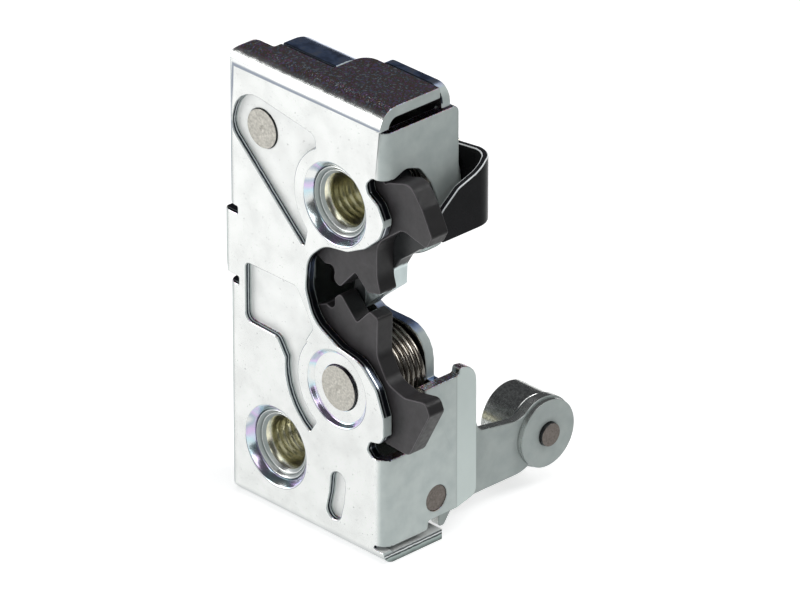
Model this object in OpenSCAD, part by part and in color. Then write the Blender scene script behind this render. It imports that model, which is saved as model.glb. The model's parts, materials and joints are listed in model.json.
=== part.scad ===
// Two-rotor door latch, standing open. Millimetres.
// X runs towards the mouth side, Y runs from the front face to the back, Z is up.
// The origin is on the upper fixing's axis, where its thread begins.

/* [Case] */
// Width of the folded case over its side walls
case_w = 48.1; // [47:0.1:54]
// Height of the folded case over its top and bottom flanges
case_h = 106; // [104:0.5:116]
// Distance from the upper fixing's axis to the right side of the case
side_reach = 14.7; // [14.4:0.1:16]
// Distance from the upper fixing's axis up to the top of the case
top_reach = 26; // [25:0.1:30]
// Depth from the front face to the back plate
case_depth = 17.2; // [16.8:0.1:20]
// Thickness of the folded steel sheet
sheet = 2.5; // [2:0.1:2.8]
// Outside radius of the folded edges
bend_r = 3; // [3:0.1:4]
// Outside radius of the top fold
top_bend = 4.8; // [4:0.1:5.6]
// Outside radius of the case's two left corners
corner_r = 5; // [4:0.5:6]
// Outside radius of the back plate's bent top flange
roll_r = 8; // [6:0.5:9]
// Depth of the formed recesses in the front face
recess_depth = 1.6; // [0.6:0.1:1.8]
// Clearance between a moving piece and its neighbour
gap = 0.4; // [0.3:0.05:0.6]
// Radial clearance of a running fit
running = 0.05; // [0.02:0.01:0.08]

/* [Fixings] */
// Sideways place of the lower fixing from the upper one
lower_fix_x = -18.45; // [-20:0.05:-17]
// Bore of the fixing thread, at its crests
thread_bore = 10.2; // [8:0.1:11]
// Diameter of the thread's mouth
mouth_d = 12.2; // [11.4:0.1:13]
// Depth of the thread's mouth below the front face
mouth_depth = 3; // [2.8:0.1:3.6]
// Outside diameter of a bush
bush_d = 16; // [15:0.1:17]
// Diameter of the conical dimple at the front face
cone_d = 18.8; // [17.6:0.1:20]
// Depth of the conical dimple
cone_depth = 1.5; // [1.3:0.1:2.2]
// Diameter of the collar behind the upper bush
collar_d = 19; // [18:0.5:20]
// Diameter of the journal that carries the strap
strap_journal_d = 14; // [13.6:0.1:14.6]

/* [Rotors] */
// Sideways place of the lower rotor's pivot
pivot_x = 0.4; // [0:0.1:1]
// Thickness of a rotor
rotor_t = 4.8; // [4:0.1:5]
// Thickness of the plate behind the upper rotor
backing_t = 4; // [3:0.1:4.2]
// Radius of a rotor's hub
hub_r = 14; // [13:0.1:14.4]
// Radius of the rim beside a rotor's tooth
rim_r = 18; // [17:0.1:18.4]
// Diameter of the lower rotor's pivot
pivot_d = 12; // [11:0.1:13]
// Diameter of the pivot's riveted ends
rivet_d = 10.1; // [9:0.1:10.6]
// Radius of the sleeve that the lower spring sits on
sleeve_r = 7.6; // [7:0.1:7.8]

/* [Pawl and strap] */
// Sideways place of the pawl shaft
pawl_x = -23.4; // [-23.6:0.1:-23]
// Height of the pawl shaft
pawl_z = 8.8; // [8.4:0.1:9.4]
// Diameter of the pawl shaft's riveted end
pawl_rivet_d = 8.8; // [8:0.1:9.2]
// Diameter of the pawl shaft
shaft_d = 7; // [6:0.1:7.4]
// Outside diameter of the hub on the pawl shaft
hub_d = 11; // [10.4:0.1:11.4]
// Radius of the eyes of the pawl and its arm
eye_r = 7.2; // [6.8:0.1:7.4]
// Thickness of the strap
strap_t = 1.5; // [1:0.1:2]
// Sideways place of the strap's outer face
strap_x = 19.2; // [18:0.1:20.5]
// Distance from the back plate to the strap's rear face
strap_stand = 9.6; // [9:0.1:10.8]
// Outside radius of the strap's bend
strap_bend = 5.9; // [4:0.1:6.5]
// Height of the strap's top edge
strap_top = 8.2; // [7.6:0.1:9]
// Height of the strap's bottom edge
strap_bottom = -6.5; // [-8:0.1:-6]
// Diameter of the studs that move the strap and the link
stud_d = 4; // [3:0.1:4.6]
// Thickness of the link
link_t = 2; // [1.5:0.1:2.2]
// Width of the link
link_w = 5; // [4:0.1:6]

/* [Release lever] */
// Depth of the lever's pivot pin
pin_depth = 15.5; // [15:0.1:16]
// Diameter of the lever's pivot pin
pin_d = 6; // [5:0.1:6.6]
// Sideways place of the lever's outer face
lever_x = 11.7; // [11.4:0.1:11.9]
// Thickness of the lever
lever_t = 2.5; // [2:0.1:3]
// Depth of the roller's axis
roller_depth = 50.2; // [48:0.1:56]
// Diameter of the roller
roller_d = 15.7; // [14:0.1:17]
// Length of the roller
roller_len = 8.5; // [7:0.1:9.5]
// Diameter of the roller's pin
roller_pin_d = 5.4; // [4.6:0.1:6]
// Thickness of the washer outside the lever
washer_t = 1.4; // [1:0.1:1.6]

/* [Springs] */
// Play between the lower rotor's sleeve and its spring
lower_play = 1.3; // [0.4:0.1:1.5]
// Wire of the rotor springs
rotor_wire = 1.3; // [1.1:0.1:1.35]
// Wire of the pawl and lever springs
small_wire = 1.2; // [0.8:0.1:1.3]
// Turns of the lower rotor's spring
lower_turns = 5.25; // [3.25:1:5.25]
// Turns of the upper rotor's spring
upper_turns = 1.9; // [0.9:1:1.9]

/* [Hidden] */
$fn = 64;

left_x = side_reach - case_w;
bottom_z = top_reach - case_h;
inner_r = bend_r - sheet;
face_y = -mouth_depth;
back_face = case_depth + sheet;

// Heights below the upper fixing, drawn for a case 106 high, grow with the case
tall = case_h / 106;
pivot_gap = 43.2 * tall;
lower_fix_z = -64.2 * tall;
pin_z = -69.5 * tall;
roller_z = -67.5 * tall;
window_z = -54.5 * tall;
link_bottom = -57.2 * tall;

rotor_front = sheet + gap;
rotor_back = rotor_front + rotor_t;
backing_back = rotor_back + backing_t;
lower_pivot_z = -pivot_gap;
inner_side = side_reach - sheet;

// Depths behind the back plate, in order
arm_front = back_face + gap;
arm_back = arm_front + 2.5;
link_front = arm_back + gap;
link_back = link_front + link_t;
strap_depth = back_face + strap_stand;
strap_front = strap_depth - strap_t;
ring_t = 1;
ring_front = strap_depth + 0.2;

// The two studs of the release train, and the link's lower end
drive_x = -13.31;
drive_z = 5;
link_x = -19;
link_top = -2;
finger_t = 2.5;
ring_groove = 1;
stud_head = 1.2;
hole_side = 0.6;

// Upper edge of the side walls' lower part, and where the upper wall starts
lower_wall_top = -42.6;
upper_wall_top = top_reach - 5.1;
upper_wall_back = back_face + 2;
lower_wall_back = back_face + 1.7;
ear_back = back_face + 7.5;

// A corner list as [x, z, r] turned into points, with each corner rounded to its r
function unit(v) = v / norm(v);
function turned(a) = a > 180 ? a - 360 : a < -180 ? a + 360 : a;
function corner(a, p, b, n) =
    let (u = unit([a[0] - p[0], a[1] - p[1]]), v = unit([b[0] - p[0], b[1] - p[1]]),
         half = acos(max(-0.9999, min(0.9999, u * v))) / 2,
         c = [p[0], p[1]] + unit(u + v) * p[2] / sin(half),
         s = [p[0], p[1]] + u * p[2] / tan(half) - c,
         e = [p[0], p[1]] + v * p[2] / tan(half) - c,
         start = atan2(s[1], s[0]), sweep = turned(atan2(e[1], e[0]) - start))
    [for (i = [0:n]) c + p[2] * [cos(start + sweep * i / n), sin(start + sweep * i / n)]];
function rounded(pts, n = 5) =
    [for (i = [0:len(pts) - 1])
        let (p = pts[i], a = pts[(i + len(pts) - 1) % len(pts)], b = pts[(i + 1) % len(pts)])
        each p[2] == 0 ? [[p[0], p[1]]] : corner(a, p, b, n)];
// Points of an arc about a centre
function arc(cx, cz, r, from, to, n) =
    [for (i = [0:n]) [cx + r * cos(from + (to - from) * i / n), cz + r * sin(from + (to - from) * i / n)]];
function deep(d) = face_y + d;

// A flat outline seen from the front, d behind the front face and t thick
module slab(d, t) {
    translate([0, deep(d) + t, 0]) rotate([90, 0, 0]) linear_extrude(t) children();
}
// A flat outline seen from the side, its Y measured from the front face
module flank(x, t) {
    translate([x, face_y, 0]) rotate([90, 0, 90]) linear_extrude(t) children();
}
// A round piece along Y, and one that changes its diameter from front to back
module post(d, t, dia, x = 0, z = 0) {
    translate([x, deep(d) + t, z]) rotate([90, 0, 0]) cylinder(h = t, d = dia);
}
module taper(d, t, front_d, back_d, x = 0, z = 0) {
    translate([x, deep(d) + t, z]) rotate([90, 0, 0]) cylinder(h = t, d1 = back_d, d2 = front_d);
}
// A round piece along X
module rod(x0, x1, dia, d, z) {
    translate([x0, deep(d), z]) rotate([0, 90, 0]) cylinder(h = x1 - x0, d = dia);
}

// Section of the case seen from above and from the side, with rounded front corners
module case_plan(inset, r, depth) {
    w = case_w - 2 * inset;
    translate([left_x + inset, face_y + inset]) {
        translate([r, 0]) square([w - 2 * r, depth]);
        translate([0, r]) square([w, depth - r]);
        translate([r, r]) circle(r);
        translate([w - r, r]) circle(r);
    }
}
module case_side(inset, r, depth) {
    h = case_h - 2 * inset;
    top_r = top_bend - inset;
    translate([inset, bottom_z + inset]) {
        translate([0, r]) square([depth, h - r - top_r]);
        translate([r, 0]) square([depth - r, h - top_r]);
        translate([top_r, r]) square([depth - top_r, h - r]);
        translate([r, r]) circle(r);
        translate([top_r, h - top_r]) circle(top_r);
    }
}
// Front view of the case, with its two left corners rounded
module case_front(inset) {
    r = corner_r - inset;
    w = case_w - 2 * inset;
    h = case_h - 2 * inset;
    translate([left_x + inset, bottom_z + inset]) {
        translate([r, 0]) square([w - r, h]);
        translate([0, r]) square([w, h - 2 * r]);
        translate([r, r]) circle(r);
        translate([r, h - r]) circle(r);
    }
}
module case_block(inset, r, depth) {
    intersection() {
        translate([0, 0, bottom_z + inset]) linear_extrude(case_h - 2 * inset) case_plan(inset, r, depth);
        flank(left_x, case_w) case_side(inset, r, depth);
        slab(inset, depth) case_front(inset);
    }
}
module folded_tray(depth) {
    difference() {
        case_block(0, bend_r, depth);
        case_block(sheet, inner_r, depth);
    }
}
// A length of the top or bottom fold, taken along X
module fold_strip(x0, x1, z0, z1) {
    intersection() {
        flank(x0, x1 - x0) difference() {
            case_side(0, bend_r, case_depth);
            case_side(sheet, inner_r, case_depth);
        }
        translate([x0, face_y, z0]) cube([x1 - x0, case_depth, z1 - z0]);
    }
}

// What is left of the right side wall, above and below the mouth
module upper_wall() {
    polygon(rounded([[-1, upper_wall_top, 0], [upper_wall_back, upper_wall_top, 1.5],
        [upper_wall_back, 0.5, 0.8], [18.6, -0.6, 0.6], [16.7, -2.3, 0.8], [13.8, 5.4, 4],
        [10.6, 9.9, 3], [6.6, 11.3, 3], [3.4, 10, 1], [-1, 9.8, 0]]));
}
module lower_wall() {
    polygon(rounded([[-1, -55.4, 0], [11.4, -55.7, 2], [13.6, -50, 3], [12.1, -45, 2],
        [12.1, lower_wall_top, 0.3], [lower_wall_back + 0.6, lower_wall_top, 0.5],
        [lower_wall_back + 0.9, lower_wall_top + 1.6, 0.6], [ear_back, lower_wall_top + 1.6, 4.4],
        [ear_back, pin_z - 3.2, 2], [lower_wall_back, pin_z - 4.6, 1], [13.2, pin_z - 4.6, 0.4],
        [12.8, bottom_z + 3.8, 0.6], [-1, bottom_z + 3.8, 0]]));
}

// Outline of the mouth in the front plate: round the upper lobe, the bottom and the lower lobe
module front_mouth() {
    far = side_reach + 8;
    polygon(rounded([[far, 9.8, 0], [11, 9.8, 1], [9.4, 8, 1.2], [10, 6.1, 1], [13, 4.2, 2.4],
        [14.9, 0.6, 2.6], [13.4, -3.4, 4], [9, -7.2, 5], [3.6, -9.9, 5], [-3.4, -11, 7],
        [-8.4, -15.6, 7], [-9, -23, 7], [-6.6, -29.6, 7], [0.8, -33.2, 6], [7.6, -34.4, 7],
        [12.4, -39.2, 5], [15.6, -47.4, 3.4], [13.6, -51.4, 2.4], [10.4, -52, 1], [9.6, -54, 1],
        [11.2, -55.4, 1], [far, -55.4, 0]]));
}
module back_mouth() {
    far = side_reach + 8;
    polygon(concat([[far, -4]], [[inner_side - gap, -4]], arc(0, 0, 16.5, -45, -72, 6),
        rounded([[5.1, -15.8, 0], [-9, -17.4, 6], [-9.4, -32.6, 6],
            [inner_side - 2.7, lower_pivot_z + 10.6, 7],
            [inner_side - 2.6, lower_wall_top - 1, 0]]),
        [[far, lower_wall_top - 1]]));
}

// The two formed recesses of the front face, and the short curved one near the bottom
module upper_recess() {
    difference() {
        polygon(rounded([[-9.4, -13.5, 0.6], [-31.9, 7.2, 4.4], [-28.8, 17.4, 7], [-6, 13.8, 2],
            [-5.4, 6, 0.5]]));
        circle(12.4);
    }
}
module lower_recess() {
    difference() {
        union() {
            polygon(rounded([[-27.5, -23.5, 1.2], [-27.5, -37.2, 2], [-17.8, -37.6, 2], [-15.2, -41.6, 0],
                [-9, -35, 0], [-6.8, -31.5, 1], [-11.8, -23.5, 1.5]]));
            polygon(concat(arc(pivot_x, lower_pivot_z, 15.7, 140, 238, 12),
                arc(pivot_x, lower_pivot_z, 10, 238, 140, 8)));
        }
        translate([pivot_x, lower_pivot_z]) circle(12);
    }
}
module slot_recess() {
    slot_w = 4.4;
    slot_at = [[-0.55, -72.5], [0.3, -69], [0.7, -65.2]];
    for (p = slot_at) translate(p) circle(d = slot_w);
    for (i = [0, 1]) hull() {
        translate(slot_at[i]) circle(d = slot_w, $fn = 32);
        translate(slot_at[i + 1]) circle(d = slot_w, $fn = 32);
    }
}

// Lug that bulges from the left edge, between two small relief notches
module left_lug() {
    lug_out = 1.6;
    lug_depth = 8;
    intersection() {
        slab(0, lug_depth) polygon(rounded([[left_x + bend_r, -12.6, 0], [left_x - lug_out, -13, 1.2],
            [left_x - lug_out, -21.8, 4], [left_x + 0.1, -27.8, 0], [left_x + bend_r, -27.8, 0]]));
        translate([left_x - lug_out, face_y, -30]) linear_extrude(18) {
            translate([bend_r, 0]) square([bend_r, lug_depth]);
            translate([0, bend_r]) square([lug_out + 1, lug_depth - bend_r]);
            translate([bend_r, bend_r]) circle(bend_r);
        }
    }
}

module front_case() {
    flange_r = 3.4;
    color("gainsboro") difference() {
        union() {
            difference() {
                folded_tray(case_depth);
                translate([inner_side - inner_r, face_y - 1, bottom_z - 1])
                    cube([sheet + bend_r, case_depth + 2, case_h + 2]);
            }
            intersection() {
                folded_tray(ear_back + 1);
                flank(inner_side - inner_r, sheet + bend_r) union() {
                    upper_wall();
                    lower_wall();
                }
            }
            fold_strip(inner_side - inner_r, side_reach - 0.9, top_reach - top_bend, top_reach);
            fold_strip(inner_side - inner_r, side_reach, bottom_z, bottom_z + bend_r);
            slab(0, sheet) translate([inner_side - inner_r, -54]) square([bend_r - 0.1, 63]);
            intersection() {
                folded_tray(case_depth);
                translate([inner_side - inner_r, face_y, upper_wall_top - 0.6])
                    cube([1.4, sheet, top_reach - sheet - upper_wall_top + 1]);
            }
            left_lug();
        }
        slab(-1, sheet + 1.1) front_mouth();
        slab(-1, recess_depth + 1) upper_recess();
        slab(-1, recess_depth + 1) lower_recess();
        slab(-1, recess_depth + 1) slot_recess();
        taper(-0.01, cone_depth + 0.01, cone_d, bush_d);
        post(cone_depth - 0.01, sheet, bush_d);
        taper(-0.01, cone_depth + 0.01, cone_d, bush_d, lower_fix_x, lower_fix_z);
        post(cone_depth - 0.01, sheet, bush_d, lower_fix_x, lower_fix_z);
        taper(-0.01, 1.01, 17.7, 16.2, pivot_x, lower_pivot_z);
        post(-1, sheet + 2, rivet_d, pivot_x, lower_pivot_z);
        post(-1, sheet + 2, pawl_rivet_d, pawl_x, pawl_z);
        rod(inner_side - 1, side_reach + 1, pin_d, pin_depth, pin_z);
        // The top flange is short on the left and cut back for the back plate's own flange
        translate([left_x - 1, deep(6), top_reach - roll_r]) cube([9.9, case_depth, roll_r + 1]);
        translate([left_x + 8.8, deep(8.1), top_reach - sheet - 1]) cube([16.2, case_depth, sheet + 2]);
        translate([left_x + 25 + flange_r, deep(case_depth) - flange_r, top_reach - sheet - 1])
            linear_extrude(sheet + 2) difference() {
                translate([-flange_r - 1, 0]) square([flange_r + 1, flange_r + 1]);
                circle(flange_r);
            }
        // Relief notches at both ends of the lug
        translate([left_x - 3, face_y - 1, -13]) cube([6.6, 6, 1.7]);
        translate([left_x - 1, face_y - 1, -29.7]) cube([4.8, 6, 1.9]);
    }
}

module back_outline() {
    flat_top = top_reach - roll_r;
    polygon(rounded([[left_x, bottom_z + 3, 2], [left_x, flat_top, 3], [left_x + 8.9, flat_top, 0],
        [left_x + 25.1, flat_top, 0], [left_x + 25.1, top_reach - 4, 0], [-4.1, top_reach - 4, 0],
        [-4.1, top_reach, 1.8], [side_reach - 0.5, top_reach, 3.6],
        [side_reach - 0.5, upper_wall_top + 0.3, 0], [inner_side, upper_wall_top + 0.3, 0],
        [inner_side, pin_z + 11.5, 1], [lever_x - lever_t - 5.4, pin_z + 9.9, 2],
        [lever_x - lever_t - 5.4, bottom_z + 3, 1]]));
}
module back_plate() {
    color("silver") difference() {
        union() {
            slab(case_depth, sheet) back_outline();
            // Flange rolled forwards over the gap in the case's top flange
            flank(left_x + 8.9, 16) union() {
                intersection() {
                    difference() {
                        translate([back_face - roll_r, top_reach - roll_r]) circle(roll_r);
                        translate([back_face - roll_r, top_reach - roll_r]) circle(roll_r - sheet);
                    }
                    translate([back_face - roll_r, top_reach - roll_r]) square(roll_r);
                }
                translate([8.5, top_reach - sheet]) square([back_face - roll_r - 8.5, sheet]);
            }
        }
        slab(case_depth - 1, sheet + 2) back_mouth();
        post(case_depth - 1, sheet + 2, bush_d);
        post(case_depth - 1, sheet + 2, bush_d - 2, lower_fix_x, lower_fix_z);
        post(case_depth - 1, sheet + 2, rivet_d, pivot_x, lower_pivot_z);
        post(case_depth - 1, sheet + 2, hub_d + 2 * gap, pawl_x, pawl_z);
    }
}

// A threaded bush: chamfered front end, body between the plates and a rear end
module bush_front(x, z) {
    taper(cone_depth, mouth_depth - cone_depth, bush_d - 0.2, bush_d, x, z);
    post(mouth_depth - 0.01, case_depth - mouth_depth + 0.01, bush_d, x, z);
}
// Mouth, thread and the wider bore behind the thread
module bush_bore(x, z) {
    taper(cone_depth - 0.01, mouth_depth - cone_depth + 0.01, bush_d - 0.6, mouth_d, x, z);
    post(cone_depth, 40, thread_bore, x, z);
    post(back_face - 0.5, 20, mouth_d, x, z);
}
module upper_bush() {
    color("khaki") difference() {
        union() {
            bush_front(0, 0);
            post(case_depth - 0.01, sheet + 1, bush_d);
            post(back_face, strap_front - gap - back_face, collar_d);
            post(strap_front - gap - 0.01, ring_front + ring_t + ring_groove - strap_front + gap,
                strap_journal_d);
        }
        bush_bore(0, 0);
        difference() {
            post(ring_front, ring_t, strap_journal_d + 2);
            post(ring_front - 1, ring_t + 2, strap_journal_d - 1);
        }
    }
}
module lower_bush() {
    color("khaki") difference() {
        union() {
            bush_front(lower_fix_x, lower_fix_z);
            post(case_depth - 0.01, sheet + 0.41, bush_d - 2, lower_fix_x, lower_fix_z);
            post(back_face, 0.8, bush_d - 0.5, lower_fix_x, lower_fix_z);
        }
        bush_bore(lower_fix_x, lower_fix_z);
    }
}

module lower_rotor_pivot() {
    color("tan") difference() {
        union() {
            post(0.4, sheet - 0.2, rivet_d, pivot_x, lower_pivot_z);
            post(sheet, case_depth - sheet, pivot_d, pivot_x, lower_pivot_z);
            post(case_depth - 0.01, sheet + 0.4, rivet_d, pivot_x, lower_pivot_z);
            taper(back_face, 1, rivet_d + 1.6, rivet_d, pivot_x, lower_pivot_z);
        }
        taper(0.3, 0.6, 2, 0.6, pivot_x, lower_pivot_z);
    }
}

module pawl_shaft() {
    rear = ring_t + ring_groove;
    color("tan") difference() {
        union() {
            post(recess_depth - 0.4, sheet - recess_depth + 0.4, pawl_rivet_d, pawl_x, pawl_z);
            post(sheet - 0.01, arm_back + 0.2 - sheet + rear, shaft_d, pawl_x, pawl_z);
        }
        difference() {
            post(arm_back + 0.2, ring_t, shaft_d + 2, pawl_x, pawl_z);
            post(arm_back, ring_t + 1, shaft_d - 1, pawl_x, pawl_z);
        }
        taper(recess_depth - 0.5, 0.5, 1.8, 0.6, pawl_x, pawl_z);
    }
}
// Retaining ring in a groove, open at one side
module ring(d, dia, x, z) {
    difference() {
        post(d, ring_t, dia + 4, x, z);
        post(d - 1, ring_t + 2, dia - 1, x, z);
        slab(d - 1, ring_t + 2) translate([x - 1.5, z - dia]) square([3, dia]);
    }
}
module shaft_ring() {
    color("dimgray") ring(arm_back + 0.2, shaft_d, pawl_x, pawl_z);
}
module strap_ring() {
    color("dimgray") ring(ring_front, strap_journal_d, 0, 0);
}

module striker_buffer() {
    buffer_gap = 0.6;
    front = backing_back + buffer_gap;
    color("black") slab(front, case_depth - front)
        polygon(rounded([[-8.8, -17.6, 1.4], [-8.8, -26.4, 1.4], [-14.6, -28, 1], [-14.6, -16, 1]]));
}

// Rotor outline about its own pivot: hook, leg, notch, tooth, pocket, rim and hub
function rotor_corners() = [[12.6, 8.6, 2], [19.6, 10.7, 3.2], [23.2, 6, 3], [26.1, 0.5, 1],
    [24.5, -2.5, 1], [17.2, -0.8, 3], [9.7, -6.6, 4.5], [9.7, -14.6, 8], [10.8, -18.2, 0.6],
    [6.9, -19.2, 0.6], [3.1, -15.8, 0.5], [-2, -21.4, 1.2], [-3.5, -19.4, 0.8], [-2.8, -16.2, 1.3],
    [-5.9, -17, 0]];
function rotor_back_edge() = concat(arc(0, 0, rim_r, 249, 226, 4), arc(0, 0, hub_r, 219, 50, 24));
// The lower rotor's legs point up; its hook is a little stouter than the upper one's
function lower_corners() = [[11.4, -9.4, 2], [18.9, -9.9, 2.2], [22.4, -3.2, 6], [25.1, 1.9, 0.9],
    [23.8, 4.6, 1.6], [17.4, 3.4, 3], [12.4, 4.8, 4], [9.3, 10.2, 4], [9.5, 19, 0.7], [7, 19.9, 0.7],
    [3.1, 15.9, 0.5], [-1.9, 21, 1.2], [-3.6, 19.2, 0.8], [-3.6, 16, 1.3], [-6.2, 16.9, 0]];
function lower_back_edge() = concat(arc(0, 0, rim_r, 111, 134, 4), arc(0, 0, hub_r, 141, 310, 24));
module upper_rotor() {
    color([0.2, 0.19, 0.21]) difference() {
        slab(rotor_front, rotor_t)
            polygon(concat(rounded([for (p = rotor_corners()) p * tall]), rotor_back_edge()));
        post(rotor_front - 1, rotor_t + 2, bush_d + 2 * running);
    }
}
module lower_rotor() {
    color([0.2, 0.19, 0.21]) translate([pivot_x, 0, lower_pivot_z]) difference() {
        union() {
            slab(rotor_front, rotor_t - gap)
                polygon(concat(rounded([for (p = lower_corners()) p * tall]), lower_back_edge()));
            post(rotor_back - gap - 0.01, case_depth - rotor_back, 2 * sleeve_r);
        }
        post(rotor_front - 1, case_depth, pivot_d + 2 * running);
    }
}
module upper_backing_plate() {
    color([0.3, 0.3, 0.32]) difference() {
        slab(rotor_back, backing_t) polygon(concat(
            rounded([[14, 1.6, 2], [19, -2.4, 2], [19, -6.2, 1.5], [17, -7.1, 1], [14.9, -8.9, 2],
                [11.6, -11.4, 2], [9.9, -14.2, 2], [9.7, -18.8, 0.5], [3, -24.4, 1], [0.6, -27, 1],
                [-2.6, -24.4, 1], [-1.6, -17, 3], [-6, -12, 0]]),
            arc(0, 0, hub_r - 1, 236, 30, 20)));
        post(rotor_back - 1, backing_t + 2, bush_d + 2 * running);
    }
}

// The pawl hangs beside the rotors; its head drops between their teeth when they close
module pawl() {
    head_z = -pivot_gap / 2;
    color("lightsteelblue") difference() {
        slab(rotor_front, rotor_t - gap) union() {
            translate([pawl_x, pawl_z]) circle(eye_r - 0.3);
            polygon(rounded([[pawl_x - 5.2, pawl_z, 0], [pawl_x - 2.9, -4, 4],
                [pawl_x - 2, head_z - 9.5, 3], [pawl_x + 4.2, head_z - 9.5, 1.2],
                [pawl_x + 7, head_z - 7.4, 0.6], [pawl_x + 10, head_z - 3, 1.5],
                [pawl_x + 10, head_z + 3, 1.5], [pawl_x + 7, head_z + 7.4, 0.6],
                [pawl_x + 4.4, head_z + 10, 1.5], [pawl_x + 2.8, -3, 3],
                [pawl_x + 3.2, pawl_z - 5.3, 0]]));
        }
        post(rotor_front - 1, rotor_t + 2, hub_d, pawl_x, pawl_z);
    }
}
module pawl_hub() {
    color("darkgray") difference() {
        post(rotor_front, arm_back - rotor_front, hub_d, pawl_x, pawl_z);
        post(rotor_front - 1, arm_back, shaft_d + 2 * running, pawl_x, pawl_z);
    }
}
module drive_arm() {
    end_r = 4;
    reach = [drive_x - pawl_x, drive_z - pawl_z];
    along = atan2(reach[1], reach[0]);
    lean = acos((eye_r - end_r) / norm(reach));
    color("lightsteelblue") difference() {
        slab(arm_front, arm_back - arm_front)
            polygon(concat(arc(pawl_x, pawl_z, eye_r, along + lean, along + 360 - lean, 24),
                arc(drive_x, drive_z, end_r, along - lean, along + lean, 12)));
        post(arm_front - 1, arm_back, hub_d, pawl_x, pawl_z);
        post(arm_front - 1, arm_back, stud_d, drive_x, drive_z);
    }
}
module drive_stud() {
    color("tan") union() {
        post(arm_front, ring_front - arm_front, stud_d, drive_x, drive_z);
        post(ring_front, stud_head, stud_d + 3, drive_x, drive_z);
    }
}

// The strap: an arm behind the case, a bend round the right-hand rear edge and a cheek beside the wall
module release_strap() {
    inner_bend = strap_bend - strap_t;
    color([0.08, 0.08, 0.09]) difference() {
        union() {
            slab(strap_front, strap_t) union() {
                circle(10);
                translate([link_x, link_top]) circle(4.6);
                polygon(rounded([[link_x, link_top - 4.6, 0], [-2, -9.6, 0], [6, strap_bottom, 2],
                    [strap_x - strap_bend, strap_bottom, 0], [strap_x - strap_bend, strap_top, 0],
                    [6.5, strap_top - 0.8, 2], [-4, 9, 0], [drive_x - 3.4, drive_z + 3.4, 3],
                    [link_x - 3.6, link_top + 3, 0]]));
            }
            intersection() {
                translate([0, 0, strap_bottom]) linear_extrude(strap_top - strap_bottom)
                    translate([strap_x, face_y + strap_depth])
                    intersection() {
                        translate([-strap_bend, -strap_bend]) difference() {
                            circle(strap_bend);
                            circle(inner_bend);
                        }
                        translate([-strap_bend, -strap_bend]) square(strap_bend);
                    }
                flank(0, strap_x + 1) strap_cheek(strap_depth + 1);
            }
            flank(strap_x - strap_t, strap_t) strap_cheek(strap_depth - strap_bend);
        }
        post(strap_front - 1, strap_t + 2, strap_journal_d + 2 * running);
        post(strap_front - 1, strap_t + 2, stud_d + 2 * hole_side, drive_x, drive_z);
        post(strap_front - 1, strap_t + 2, stud_d, link_x, link_top);
    }
}
module strap_cheek(back) {
    intersection() {
        polygon(rounded([[strap_depth - 17.1, strap_bottom, 1], [strap_depth - 17.1, 0.5, 2.4],
            [strap_depth - 11.9, 4.7, 2], [strap_depth - 7, 6.3, 4],
            [strap_depth - 3.7, strap_top, 1], [strap_depth + 9, strap_top, 0],
            [strap_depth + 9, strap_bottom, 0]]));
        translate([0, -20]) square([back, 40]);
    }
}
module link_stud() {
    color("tan") union() {
        post(link_front - stud_head - 0.2, stud_head, stud_d + 1.6, link_x, link_top);
        post(link_front - 0.3, strap_depth + 0.4 - link_front + 0.3, stud_d, link_x, link_top);
    }
}
module release_link() {
    color("silver") difference() {
        slab(link_front, link_t) union() {
            translate([link_x, link_top]) circle(link_w / 2 + 1.8);
            translate([link_x - link_w / 2, link_bottom]) square([link_w, link_top - link_bottom]);
            translate([link_x - link_w / 2 - 1.6, link_bottom])
                square([link_w + 3.2, window_z - link_bottom + 6]);
        }
        post(link_front - 1, link_t + 2, stud_d + 2 * hole_side, link_x, link_top);
        slab(link_front - 1, link_t + 2) translate([link_x - 2.6, window_z - finger_t / 2 - 0.7])
            square([5.2, finger_t + 1.4]);
    }
}

module lever_pin() {
    inner_x = lever_x - lever_t - 3.4;
    color("tan") union() {
        rod(inner_x, side_reach - 0.3, pin_d, pin_depth, pin_z);
        rod(inner_x - 1.2, inner_x, pin_d + 3, pin_depth, pin_z);
    }
}
module release_lever() {
    eye = pin_d / 2 + 3.6;
    end_r = roller_d / 2 + 0.35;
    tongue_z = window_z - finger_t / 2;
    color("silver") difference() {
        union() {
            flank(lever_x - lever_t, lever_t) union() {
                translate([pin_depth, pin_z]) circle(eye);
                translate([roller_depth, roller_z]) circle(end_r);
                polygon(rounded([[pin_depth, pin_z - 5.6, 0], [19, pin_z - 5.6, 0], [19, pin_z - 9.5, 0.8],
                    [20.6, pin_z - 9.5, 0.8], [23.4, pin_z - 5.6, 3], [32, pin_z - 5.5, 6],
                    [roller_depth - 6, roller_z - 7.6, 8], [roller_depth, roller_z - 4, 0],
                    [roller_depth, roller_z + 4, 0], [roller_depth - 3, roller_z + 6.6, 0],
                    [roller_depth - 8, roller_z + 5.3, 5], [31, roller_z + 7.2, 2],
                    [28.6, tongue_z + finger_t, 1], [23.6, tongue_z + finger_t, 1],
                    [22.4, pin_z + 5.5, 2], [pin_depth + 2, pin_z + 6.1, 2]]));
            }
            // Foot folded to the left behind the back plate, with a finger in the link's window
            translate([link_x - 2.2, deep(link_back + 0.9), tongue_z])
                cube([lever_x - link_x + 2.1, finger_t, finger_t]);
            translate([link_x - 2.2, deep(back_face + 0.5), tongue_z])
                cube([4.4, link_back - back_face + 0.5, finger_t]);
        }
        rod(0, side_reach, pin_d + 2 * running, pin_depth, pin_z);
        rod(0, side_reach, roller_pin_d, roller_depth, roller_z);
    }
}
module roller_pin() {
    left = lever_x - lever_t - gap - roller_len;
    color("tan") union() {
        rod(left - 0.3, lever_x + washer_t + 0.9, roller_pin_d, roller_depth, roller_z);
        rod(left - 1.5, left - 0.3, roller_pin_d + 3.4, roller_depth, roller_z);
    }
}
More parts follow.
